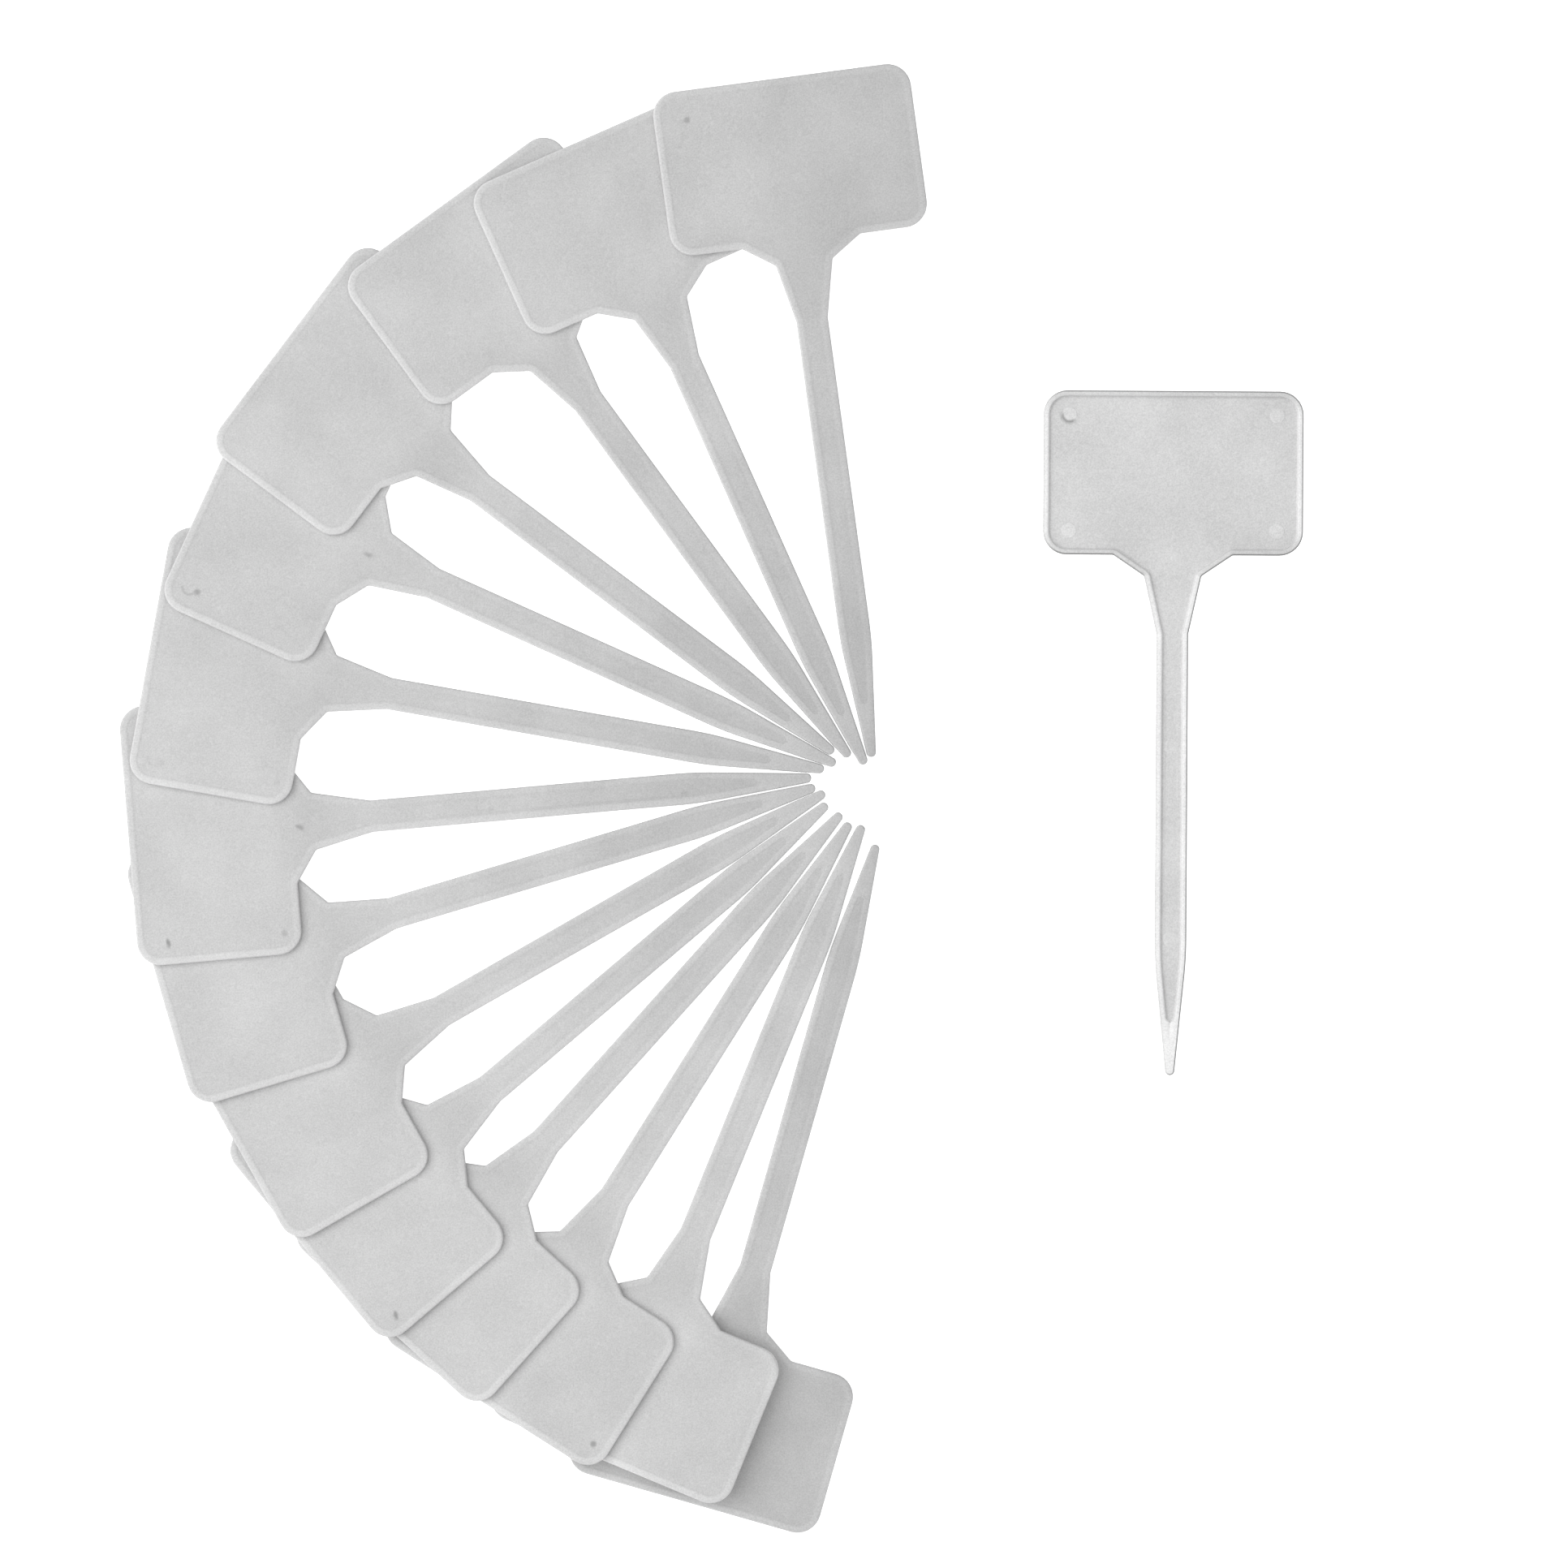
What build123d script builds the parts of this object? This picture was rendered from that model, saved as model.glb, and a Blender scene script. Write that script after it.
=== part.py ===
"""A set of T-shaped plant label stakes, laid out as they are shown: a fan and one by itself.

Every stake is one thin white moulding, 150 mm long. Its front is smooth, with its edge taken off. Its
back has a narrow rim all round, so that the head and the stem are one shallow pocket with drafted
walls, and a sink fades from the pocket's end into the solid tip. The stakes of the fan lie front up,
each on those laid before it, like roof shingles. The last stake lies by itself, back up.

Millimetres. +Z is up and the floor is z = 0. The origin is under the middle of the whole layout.
"""

import math
import os

from build123d import *

# Plan of one stake, from its tip up
LENGTH = 150.0
HEAD_WIDTH = 57.0
HEAD_HEIGHT = 36.0
HEAD_CORNER_RADIUS = 5.2
SHOULDER_WIDTH = 26.2
SHOULDER_DROP = 4.6
NECK_WIDTH = 12.7
NECK_LENGTH = 12.7
STEM_WIDTH = 6.95
POINT_LENGTH = 25.6
TIP_WIDTH = 1.85
TIP_CORNER_RADIUS = 0.8

# Section of the moulding
THICKNESS = 1.8
FRONT_EDGE_BREAK = 0.4
RIM_WIDTH = 1.2
POCKET_DEPTH = 1.0
POCKET_DRAFT = 10.0
POCKET_END = 11.8
POCKET_END_RADIUS = 0.7
SINK_LENGTH = 6.0
SINK_WIDTH = 0.9
SINK_DEPTH = 0.3

# Lay of the fan, from the lowest stake up: headings in degrees, how far each tip is from the centre, and
# the room between each stem and the stem laid before it
HEADINGS = (254.1, 247.8, 237.9, 228.0, 220.2, 209.7, 196.6, 185.0, 170.1, 155.8, 143.2, 126.3, 114.1, 97.8)
TIP_REACH = (8.4, 4.9, 5.4, 4.9, 6.0, 5.8, 8.5, 10.1, 8.8, 8.0, 10.8, 9.0, 6.7, 9.0)
STEM_GAPS = (0.16, 0.20, 0.25, 0.16, 0.15, 0.13, 0.38, 0.18, 0.10, 0.12, 0.10, 0.30, 0.20)
LOWEST_TIP_SIDE = 6.2
LAY_GAP = 0.1

# Lay of the stake by itself, from the fan's centre
SINGLE_HEADING = 89.65
SINGLE_TIP = (68.0, -60.3)

HEAD_FOOT = LENGTH - HEAD_HEIGHT
NECK_TOP = HEAD_FOOT - SHOULDER_DROP
NECK_FOOT = NECK_TOP - NECK_LENGTH


def sharp_plan():
    """The stake's plan before its corners are rounded: tip at the origin, head towards +Y."""
    right = [
        (TIP_WIDTH / 2, 0),
        (STEM_WIDTH / 2, POINT_LENGTH),
        (STEM_WIDTH / 2, NECK_FOOT),
        (NECK_WIDTH / 2, NECK_TOP),
        (SHOULDER_WIDTH / 2, HEAD_FOOT),
        (HEAD_WIDTH / 2, HEAD_FOOT),
        (HEAD_WIDTH / 2, LENGTH),
    ]
    left = [(-x, y) for x, y in reversed(right)]
    return Polygon(*right, *left, align=None)


def round_corners(plan, half_width, head_radius, foot, foot_radius):
    """Round the four corners of the head, at half_width from the axis, and the two at the foot."""
    head = plan.vertices().filter_by(lambda v: abs(abs(v.X) - half_width) < 0.001)
    plan = fillet(head, head_radius)
    feet = plan.vertices().filter_by(lambda v: abs(v.Y - foot) < 0.001)
    return fillet(feet, foot_radius)


def pocket():
    """The hollow of the back: the plan, one rim width in and short of the tip, narrowing with depth."""
    inner = offset(sharp_plan(), amount=-RIM_WIDTH, kind=Kind.INTERSECTION)
    above_end = Pos(0, POCKET_END) * Rectangle(HEAD_WIDTH, LENGTH, align=(Align.CENTER, Align.MIN))
    half_width = HEAD_WIDTH / 2 - RIM_WIDTH
    head_radius = HEAD_CORNER_RADIUS - RIM_WIDTH
    mouth = round_corners(inner & above_end, half_width, head_radius, POCKET_END, POCKET_END_RADIUS)
    hollow = extrude(mouth, POCKET_DEPTH)
    walls = hollow.faces().filter_by(Axis.Z, reverse=True)
    return draft(walls, Plane.XY, POCKET_DRAFT)


def tip_sink():
    """The shallow sink in the solid tip: a groove that fades from the pocket's end towards the tip."""
    with BuildSketch(Plane.YZ) as side:
        Polygon(
            (POCKET_END - SINK_LENGTH, 0),
            (POCKET_END + POCKET_END_RADIUS, 0),
            (POCKET_END + POCKET_END_RADIUS, SINK_DEPTH),
            align=None,
        )
    return extrude(side.sketch, SINK_WIDTH / 2, both=True)


def make_stake():
    """One stake, back down on z = 0 and front up at THICKNESS."""
    plan = round_corners(sharp_plan(), HEAD_WIDTH / 2, HEAD_CORNER_RADIUS, 0, TIP_CORNER_RADIUS)
    body = extrude(plan, THICKNESS)
    front = body.faces().sort_by(Axis.Z)[-1]
    body = chamfer(front.edges(), FRONT_EDGE_BREAK)
    return body - pocket() - tip_sink()


class Lay:
    """Where one stake lies: the plan place of its tip, its heading, and how steeply it leans.

    along and left are the stake's own plan directions. A leaning stake touches the floor with its tip
    and with the right lower corner of its head, and its left side is raised.
    """

    def __init__(self, heading, tip):
        angle = math.radians(heading)
        self.heading = heading
        self.along = Vector(math.cos(angle), math.sin(angle))
        self.left = Vector(-math.sin(angle), math.cos(angle))
        self.tip = tip
        self.lean = 0.0
        self.pitch = (HEAD_WIDTH - TIP_WIDTH) / 2 / HEAD_FOOT

    def plan(self):
        """The stake's sharp plan, where it lies."""
        return Pos(self.tip) * Rot(0, 0, self.heading - 90) * sharp_plan()

    def stem(self):
        """Corners of the stem and its point, a convex outline, in plan."""
        half = [(TIP_WIDTH / 2, 0), (STEM_WIDTH / 2, POINT_LENGTH), (STEM_WIDTH / 2, NECK_FOOT)]
        ring = half + [(-side, reach) for side, reach in reversed(half)]
        return [self.tip + self.along * reach - self.left * side for side, reach in ring]

    def rise(self, point):
        """Height of the stake's back above the floor at a plan point, for a lean of one."""
        arm = point - self.tip
        return arm.dot(self.left) + TIP_WIDTH / 2 + self.pitch * arm.dot(self.along)

    def place(self, shape):
        """The shape, moved from the stake's own frame to where the stake lies, front up."""
        slope = self.left * self.lean + self.along * (self.lean * self.pitch)
        up = Vector(-slope.X, -slope.Y, 1)
        forward = self.along + Vector(0, 0, self.lean * self.pitch)
        foot = self.tip + Vector(0, 0, self.lean * TIP_WIDTH / 2)
        return Plane(origin=foot, x_dir=forward.cross(up), z_dir=up).location * shape


def room_beside(first, second, shift, gap):
    """How far second has to move along shift for its stem to lie one gap from first's stem."""
    outlines = first.stem(), second.stem()
    moves = []
    for outline, sense in zip(outlines, (1, -1)):
        for start, end in zip(outline, outline[1:] + outline[:1]):
            edge = (end - start).normalized()
            away = Vector(edge.Y, -edge.X) * sense
            if away.dot(shift) > 0.1:
                between = min(p.dot(away) for p in outlines[1]) - max(p.dot(away) for p in outlines[0])
                moves.append((gap - between) / away.dot(shift))
    return min(moves)


def lay_fan():
    """Lay the fan from its lowest stake up: each beside the last and leaning on those below."""
    laid = []
    for heading, reach in zip(HEADINGS, TIP_REACH):
        stake = Lay(heading, Vector())
        stake.tip = stake.along * reach
        if laid:
            gap = STEM_GAPS[len(laid) - 1]
            stake.tip -= stake.left * room_beside(laid[-1], stake, stake.left * -1, gap)
        else:
            stake.tip += stake.left * LOWEST_TIP_SIDE
        for below in laid:
            for corner in (stake.plan() & below.plan()).vertices():
                point = Vector(corner.X, corner.Y)
                top = THICKNESS + LAY_GAP + below.lean * below.rise(point)
                stake.lean = max(stake.lean, top / stake.rise(point))
        laid.append(stake)
    return laid


def build():
    """Every stake of the set as name to solid, with the layout's middle over the origin."""
    stake = make_stake()
    solids = {}
    for number, lay in enumerate(lay_fan(), start=1):
        solids[f"fan_stake_{number:02d}"] = lay.place(stake)
    turned = Pos(SINGLE_TIP) * Rot(0, 0, SINGLE_HEADING - 90) * Pos(0, 0, THICKNESS) * Rot(0, 180, 0)
    solids["single_stake"] = turned * stake
    box = Compound(children=[Compound(s.wrapped) for s in solids.values()]).bounding_box()
    middle = Pos(-box.center().X, -box.center().Y)
    return {name: middle * solid for name, solid in solids.items()}


os.makedirs("parts", exist_ok=True)
for name, solid in build().items():
    export_step(solid, f"parts/{name}.step")
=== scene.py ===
"""Looks for a set of T-shaped plant label stakes: a fan of them, front up, and one by itself, back up.

Every stake is the same white moulding. Its mesh is worked out once, in the stake's own axes: x across,
y from the tip to the head, z from the back to the front. A section is carried round the outline, from
the front panel over a raised border, the edge and the rim to the pocket's floor. The mesh is then laid
where the frame has each stake. Metres, with +Z up and the surface that the stakes lie on at z = 0.
"""

from typing import NamedTuple

import bpy
import numpy as np
from bpy.props import FloatProperty, FloatVectorProperty, PointerProperty
from bpy.types import Operator, Panel, PropertyGroup
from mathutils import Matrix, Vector
from mathutils.geometry import delaunay_2d_cdt


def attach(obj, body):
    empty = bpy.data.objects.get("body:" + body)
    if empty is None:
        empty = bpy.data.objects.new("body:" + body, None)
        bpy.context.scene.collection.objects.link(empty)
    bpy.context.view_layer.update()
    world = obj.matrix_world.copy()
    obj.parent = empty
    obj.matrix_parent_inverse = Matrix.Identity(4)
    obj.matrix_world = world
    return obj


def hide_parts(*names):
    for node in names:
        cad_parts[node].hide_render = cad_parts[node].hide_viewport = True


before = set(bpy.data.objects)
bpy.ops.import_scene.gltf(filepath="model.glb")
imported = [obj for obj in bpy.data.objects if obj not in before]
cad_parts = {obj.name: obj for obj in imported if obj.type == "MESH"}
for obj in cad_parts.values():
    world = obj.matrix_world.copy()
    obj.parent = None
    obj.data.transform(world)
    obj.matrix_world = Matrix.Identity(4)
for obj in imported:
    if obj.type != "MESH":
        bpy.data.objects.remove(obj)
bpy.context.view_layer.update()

bl_info = {
    "name": "Plant label stakes",
    "version": (1, 0, 0),
    "blender": (4, 5, 0),
    "location": "3D View > Sidebar > Stakes",
    "description": "Builds a fan of T-shaped plant label stakes and one by itself, with their stage",
    "category": "Object",
}

MM = 0.001
SINGLE = "single_stake"
FAN = sorted(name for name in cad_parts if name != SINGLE)
PLASTIC = "moulded_white_plastic"
GRAIN = "moulded_surface"

# Fineness of the mesh: points on a rounded corner of an outline, rings over a rounded edge, up the border's
# slope and across the rim, points on a ring round an ejector mark, rings on a mark, and the panel's grid
CORNER_STEPS = 9
ROUND_STEPS = 7
SLOPE_STEPS = 9
CROWN_STEPS = 12
PIN_STEPS = 28
MARK_RINGS = 8
PANEL_SPACING = 1.5 * MM

# Room that the points of rings and of the grid keep from the edge of what they fill
RING_ROOM = 0.1 * MM
GRID_ROOM = PANEL_SPACING / 3

# What the section's rings hold, as section_rings describes it
RING_VALUES = ("share", "shift", "height", "shade", "lip", "crease", "side", "foot", "edge")

# Front of the section: how far two rings on the panel are from the slope's foot, the share of the slope
# that the crease's painted shade takes, where on the slope the border's painted light starts and over how
# much of it that grows, how fast the edge's painted shade comes in over the edge, and how far in the slope
# lies at the pocket's end beside the stem
PANEL_RINGS = (0.2 * MM, 0.1 * MM)
CREASE_SPAN = 0.625
LIP_SLOPE = (0.2, 0.75)
EDGE_GAIN = 2.2
POINT_BORDER = 0.5

# Back of the section: the angle round the rim's outer edge at which its outer side has ended, the height of
# the round at the rim's inner edge beside its width, how far the wall leans in, and the round at its foot
RIM_SIDE_END = 1.75
INNER_ROUND = 0.9
WALL_LEAN = 0.1 * MM
FOOT_ROUND = 0.15 * MM

# Rings on the pocket's floor: how far each is from the wall's foot, and how much of the foot's painted
# shadow it has
FOOT_RINGS = ((0.1 * MM, 0.9), (0.2 * MM, 0.55), (0.3 * MM, 0.2), (0.45 * MM, 0.0))

# Points above this share of the thickness are on the front
FRONT_SHARE = 0.75

# Ejector marks: how high each stands beside the highest, how much lighter its top is, how far its slope
# reaches in and its foot out, and its innermost ring and the clear ring round it beside its radius
PIN_RISES = (1.0, 1.0, 1.0, 1.0, 0.3, 0.5, 0.5)
PAD_LIGHT = 0.1
PAD_SLOPE = 0.1 * MM
PAD_FOOT = 0.08 * MM
PAD_CORE = 0.2
CLEAR_REACH = 1.4

# Front over a mark: the outermost and innermost rings and the start of the grid, beside the mark's radius
STAIN_REACH = 1.75
STAIN_CORE = 0.15
GRID_REACH = 1.1 * STAIN_REACH

# Painted shade: how much darker the front is at the very tip, and over what length that fades
TIP_END_SHADE = 0.06
TIP_END = 3.0 * MM

# Painted light and shade along the stem: how much lighter the middle of the stem's front is painted and
# how much fainter its border, the shares of the stem at which that starts and ends, each with the share
# over which it does so, and how much darker the neck's top is painted
STEM_LIGHT = 0.04
STEM_BORDER = 0.3
STEM_START = (0.3, 0.2)
STEM_END = (0.82, 0.12)
NECK_SHADE = 0.05
NECK_BLUR = 7.0 * MM

# A smudge is a dot at the edge of a mark, and some trail a fainter arc: the directions of the dot and of the
# arc's middle from the mark, and how far off they are, how large the dot is and how wide the arc is, beside
# the mark's radius. Some dots are dashes: how much longer and how much narrower those are
DOT_SIDE = (0.86, -0.51, 0.0)
ARC_SIDE = (-0.5, -0.86, 0.0)
DOT_REACH = 1.15
ARC_REACH = 0.9
DOT_SIZE = 0.36
ARC_WIDTH = 0.2
DASH = (1.5, 0.65)

# Where a dot and an arc have faded out, beside their size, how fast an arc comes in along its length, and
# the least distance from the mark's middle, beside its radius, that counts for that
DOT_FADE = 1.6
ARC_FADE = 1.3
ARC_GAIN = 1.5
ARC_CORE = 0.1

# The rim's outer side takes a painted shadow line: the direction that the lamp lights, and how much of that
# painted shadow it takes away there
LIT_SIDE = (-0.98, 0.2, 0.0)
LIT_SHARE = 0.72

# Painted shadow at the foot of the pocket's walls: the direction of the inner walls that hide their foot
# from the lamp, and how fast that comes in
HIDDEN_SIDE = (-0.7, 0.7, 0.0)
HIDDEN_GAIN = 1.4

# How much darker the front's outer edge is painted, as shade, where it faces the far side from the lamp,
# that side's direction, and how squarely an edge faces it where that starts and over how much more it grows
EDGE_SHADE = 0.22
FAR_SIDE = (0.62, 0.78, 0.0)
FAR_FACING = (0.4, 0.45)

# Painted light: how much lighter a front is made beside the white side of the stake above it, and how fast
# that fades
SIDE_LIGHT = 0.08
SIDE_FADE = 3.0 * MM

# Painted light on the border by the direction that it faces, lightest facing the lower left: its middle
# value, and what x and y take off
LIP_MIDDLE = 0.72
LIP_TURN = (0.3, 0.32, 0.0)

# Scale and detail of the plastic's three noises, the weights of the coarser two beside the finest, how much
# the gloss varies with them, the height of the finest beside the next, and the plastic's index of refraction
FINE_NOISE = (3000.0, 1.0)
MOTTLE_NOISE = (900.0, 2.0)
CLOUD_NOISE = (60.0, 2.0)
MOTTLE_WEIGHT = 0.3
CLOUD_WEIGHT = 0.72
GLOSS_CHANGE = 0.12
FINE_HEIGHT = 0.6
PLASTIC_IOR = 1.49

# The floor's grey, roughness, half width and depth under the stakes, and the camera's sensor in millimetres
# and the distance that it sees
FLOOR_GREY = 0.9
FLOOR_ROUGHNESS = 0.9
FLOOR_HALF = 1.5
FLOOR_DROP = 0.05 * MM
SENSOR_WIDTH = 36.0
VIEW_DEPTH = 10.0

# What counts as no length, no area, the same direction, the same level and the same point, and how far a
# stake's length in the frame may be off
NO_LENGTH = 1e-9
NO_AREA = 1e-12
SAME_FACING = 1 - 1e-6
SAME_LEVEL = 0.01 * MM
SAME_POINT = 1e-9
LENGTH_TOLERANCE = 0.5 * MM

WHITE = (1.0, 1.0, 1.0, 1.0)


class Smudge(NamedTuple):
    """A grey smudge: how dark its dot and its arc are, and a dash's heading in degrees."""

    dot: float = 0.0
    arc: float = 0.0
    dash: float | None = None


# The smudges of the stakes that have any, by the number of the ejector mark
SMUDGES = {
    "fan_stake_03": {1: Smudge(0.65)},
    "fan_stake_05": {1: Smudge(0.7, dash=-75)},
    "fan_stake_08": {
        0: Smudge(0.35),
        1: Smudge(0.75, dash=-72),
        4: Smudge(0.55, dash=-20),
        5: Smudge(0.2, arc=0.1),
        6: Smudge(0.2, arc=0.1),
    },
    "fan_stake_09": {0: Smudge(0.12, arc=0.05), 1: Smudge(0.15, arc=0.1)},
    "fan_stake_10": {1: Smudge(0.55, arc=0.3), 4: Smudge(0.45, dash=-20)},
    "fan_stake_14": {1: Smudge(0.5, arc=0.1), 6: Smudge(0.2, arc=0.1)},
    SINGLE: {3: Smudge(arc=0.7)},
}


def size_prop(name, millimetres, description):
    """A length property with its default in millimetres."""
    return FloatProperty(
        name=name,
        description=description,
        default=millimetres * MM,
        min=0.0,
        unit="LENGTH",
        precision=5,
    )


def shade_prop(name, value, description):
    """A property for how light the plastic looks."""
    return FloatProperty(name=name, description=description, default=value, min=0.0, soft_max=1.5)


def share_prop(name, value, description):
    """A property for a share between 0 and 1."""
    return FloatProperty(
        name=name, description=description, default=value, min=0.0, max=1.0, subtype="FACTOR"
    )


def grey_prop(name, value, description):
    """A colour property whose default is a grey."""
    return FloatVectorProperty(
        name=name,
        description=description,
        default=(value, value, value),
        subtype="COLOR",
        min=0.0,
        max=1.0,
    )


class StakePlan(PropertyGroup):
    """Outline of a stake, seen from its front."""

    length: size_prop("Length", 150.0, "From the tip to the head's top")
    head_width: size_prop("Head width", 57.0, "Across the head")
    head_height: size_prop("Head height", 36.0, "From the head's foot to its top")
    head_corner: size_prop("Head corner", 5.2, "Radius of the head's corners")
    shoulder_width: size_prop("Shoulder width", 26.2, "Where the shoulders leave the head's foot")
    shoulder_drop: size_prop("Shoulder drop", 4.6, "From the head's foot down to the neck")
    neck_width: size_prop("Neck width", 12.55, "At the top of the neck")
    neck_length: size_prop("Neck length", 12.7, "Along the neck, down to the stem")
    stem_width: size_prop("Stem width", 6.95, "Across the stem")
    point_length: size_prop("Point length", 25.6, "Along the tapered point")
    tip_width: size_prop("Tip width", 1.85, "Across the blunt tip")
    tip_corner: size_prop("Tip corner", 1.0, "Radius of the tip's corners")
    neck_corner: size_prop("Neck corner", 0.9, "Radius of the corners at the neck's top and shoulders")
    stem_corner: size_prop("Stem corner", 2.0, "Radius of the corners where the neck leaves the stem")
    point_corner: size_prop("Point corner", 90.0, "Radius of the corners where the stem meets its point")


class StakeSection(PropertyGroup):
    """Section of the moulding, and the painted light and shade of its parts beside the front panel."""

    thickness: size_prop("Thickness", 1.8, "From the back of the rim to the crown of the border")
    edge_width: size_prop("Edge width", 0.45, "How far in the rounded front edge reaches")
    edge_height: size_prop("Edge height", 0.4, "How far down the rounded front edge reaches")
    border_width: size_prop("Border width", 1.02, "From the front's edge to the border's inner side")
    slope_width: size_prop("Slope width", 0.9, "Across the slope from the border to the front panel")
    panel_sink: size_prop("Panel sink", 0.08, "How far the front panel lies below the border's crown")
    rim_width: size_prop("Rim width", 1.2, "Across the rim round the back")
    rim_round: size_prop("Rim round", 0.4, "Radius of the rim's two edges")
    pocket_depth: size_prop("Pocket depth", 1.0, "From the rim down to the pocket's floor")
    pocket_end: size_prop("Pocket end", 11.8, "From the tip to the pocket's end")
    pocket_end_corner: size_prop("Pocket end corner", 0.85, "Radius of the corners at the pocket's end")
    pocket_point: size_prop("Pocket point", 0.4, "How far the pocket's end points to the tip")
    sink_length: size_prop("Tip sink length", 6.0, "Length of the groove that fades into the tip")
    sink_half_width: size_prop("Tip sink half width", 0.45, "Half the width of that groove")
    sink_depth: size_prop("Tip sink depth", 0.3, "Depth of that groove at the pocket's end")
    pin_radius: size_prop("Mark radius", 1.7, "Radius of the ejector marks")
    pin_rise: size_prop("Mark rise", 0.1, "How far an ejector mark stands off the pocket's floor")
    pin_span: size_prop("Mark span", 45.6, "Across the head between its ejector marks")
    pin_edge: size_prop("Mark edge", 5.3, "From the head's foot and top to its ejector marks")
    low_pin: size_prop("Low mark", 29.7, "From the tip to the lower mark on the stem")
    high_pin: size_prop("High mark", 72.0, "From the tip to the upper mark on the stem")
    # Partly thicker plastic, partly painted light: the border is lighter, more so where it faces the lamp
    border_shade: shade_prop("Border shade", 1.14, "How light the front's thick border looks")
    # Painted shade: the crease inside the border is darkened
    crease_shade: shade_prop("Crease shade", 0.03, "How much darker the crease inside the border looks")
    # Painted light: the outer sides are made lighter to lift the shade beside them
    side_shade: shade_prop("Side shade", 1.4, "How light the outer sides look next to the front")
    # Painted shadow: the dark line on the rim's outer side away from the lamp
    rim_side_shade: shade_prop("Rim side shade", 0.3, "How light the rim's outer side looks in the shade")
    # Painted shadow: the foot of the pocket's walls on the lamp's side
    foot_shade: shade_prop("Foot shade", 0.88, "How light the walls' foot looks on the lamp's side")
    # Partly thicker plastic, partly painted light: the back's rim is made lighter
    rim_shade: shade_prop("Rim shade", 1.57, "How light the back's thick rim looks")
    # Painted shade: rim and border are darker where they run across the stake
    end_shade: shade_prop("End shade", 0.74, "How light the rim and border look across the stake")
    # Partly painted light: the pocket's floor is made lighter than the front
    floor_shade: shade_prop("Floor shade", 1.18, "How light the pocket's floor looks")
    # Painted shade: the stem's front darkens towards its point
    tip_shade: shade_prop("Tip shade", 0.86, "How light the stem's front looks at its point")
    # Painted shade: the thin front darkens near the floor, less where another stake lies near it
    floor_touch_shade: shade_prop("Floor touch shade", 0.9, "How light the front looks on the floor")
    touch_height: size_prop("Touch height", 2.2, "Height above the floor over which that fades")
    backing_blur: size_prop("Backing blur", 6.0, "How softly that ends at the edge of another stake")


class StakeFinish(PropertyGroup):
    """Colours and grain of the white plastic."""

    colour: grey_prop("Colour", 0.583, "Colour of the front panel")
    smudge_colour: grey_prop("Smudge colour", 0.2, "Colour of the grey smudges at some ejector marks")
    mottle: share_prop("Mottle", 0.42, "How much the fine grain lightens and darkens")
    roughness: share_prop("Roughness", 0.5, "Middle roughness of the plastic")
    bump: size_prop("Bump", 0.03, "Height of the fine grain")


class StageSettings(PropertyGroup):
    """Camera, lamp, sky and floor."""

    view_centre: FloatVectorProperty(
        name="View centre",
        description="Point on the floor under the camera",
        default=(15.8 * MM, 3.2 * MM),
        size=2,
        unit="LENGTH",
    )
    view_width: size_prop("View width", 344.0, "Width of the picture at the floor")
    camera_height: size_prop("Camera height", 1450.0, "Height of the camera above the floor")
    sky_strength: FloatProperty(
        name="Sky strength", description="Even light from all round", default=0.64, min=0.0
    )
    key_power: FloatProperty(
        name="Key power",
        description="Power of the soft lamp at the left",
        default=3.9,
        min=0.0,
        unit="POWER",
    )
    key_place: FloatVectorProperty(
        name="Key place",
        description="Where the soft lamp stands",
        default=(-0.45, 0.04, 0.75),
        subtype="XYZ",
        unit="LENGTH",
    )
    key_size: size_prop("Key size", 800.0, "Side of the soft lamp")
    floor_glow: FloatProperty(
        name="Floor glow",
        description="White that the camera sees on the floor besides its lit colour",
        default=0.85,
        min=0.0,
    )


def plan_corners(plan):
    """Corners of the right half of the outline, from the tip up, and the radius of each."""
    head_foot = plan.length - plan.head_height
    neck_top = head_foot - plan.shoulder_drop
    corners = np.array(
        [
            (plan.tip_width / 2, 0),
            (plan.stem_width / 2, plan.point_length),
            (plan.stem_width / 2, neck_top - plan.neck_length),
            (plan.neck_width / 2, neck_top),
            (plan.shoulder_width / 2, head_foot),
            (plan.head_width / 2, head_foot),
            (plan.head_width / 2, plan.length),
        ]
    )
    stem_radii = [plan.tip_corner, plan.point_corner, plan.stem_corner]
    head_radii = [plan.neck_corner, plan.neck_corner, plan.head_corner, plan.head_corner]
    return corners, np.array(stem_radii + head_radii)


def run_directions(corners):
    """Unit directions of the runs between the axis, the corners in turn, and the axis again."""
    foot = corners[0] * (0, 1)
    top = corners[-1] * (0, 1)
    runs = np.diff(np.vstack([foot, corners, top]), axis=0)
    return runs / np.linalg.norm(runs, axis=1, keepdims=True)


def pocket_corners(plan, section):
    """Corners of the pocket's mouth: the outline, cut off short of the tip and moved in by the rim's width.

    A corner moves against the sum of its two outward normals, over one plus their product, times the width.
    """
    corners, radii = plan_corners(plan)
    cut = section.pocket_end - section.rim_width
    corners[0] = corners[0] + (corners[1] - corners[0]) * cut / plan.point_length
    runs = run_directions(corners)
    normals = np.stack([runs[:, 1], -runs[:, 0]], axis=1)
    before, after = normals[:-1], normals[1:]
    spread = 1 + np.sum(before * after, axis=1, keepdims=True)
    bulges = before[:, 0] * after[:, 1] > before[:, 1] * after[:, 0]
    inner = corners - section.rim_width * (before + after) / spread
    inner_radii = np.where(bulges, radii - section.rim_width, radii + section.rim_width)
    inner_radii[0] = section.pocket_end_corner
    return inner, inner_radii


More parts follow.
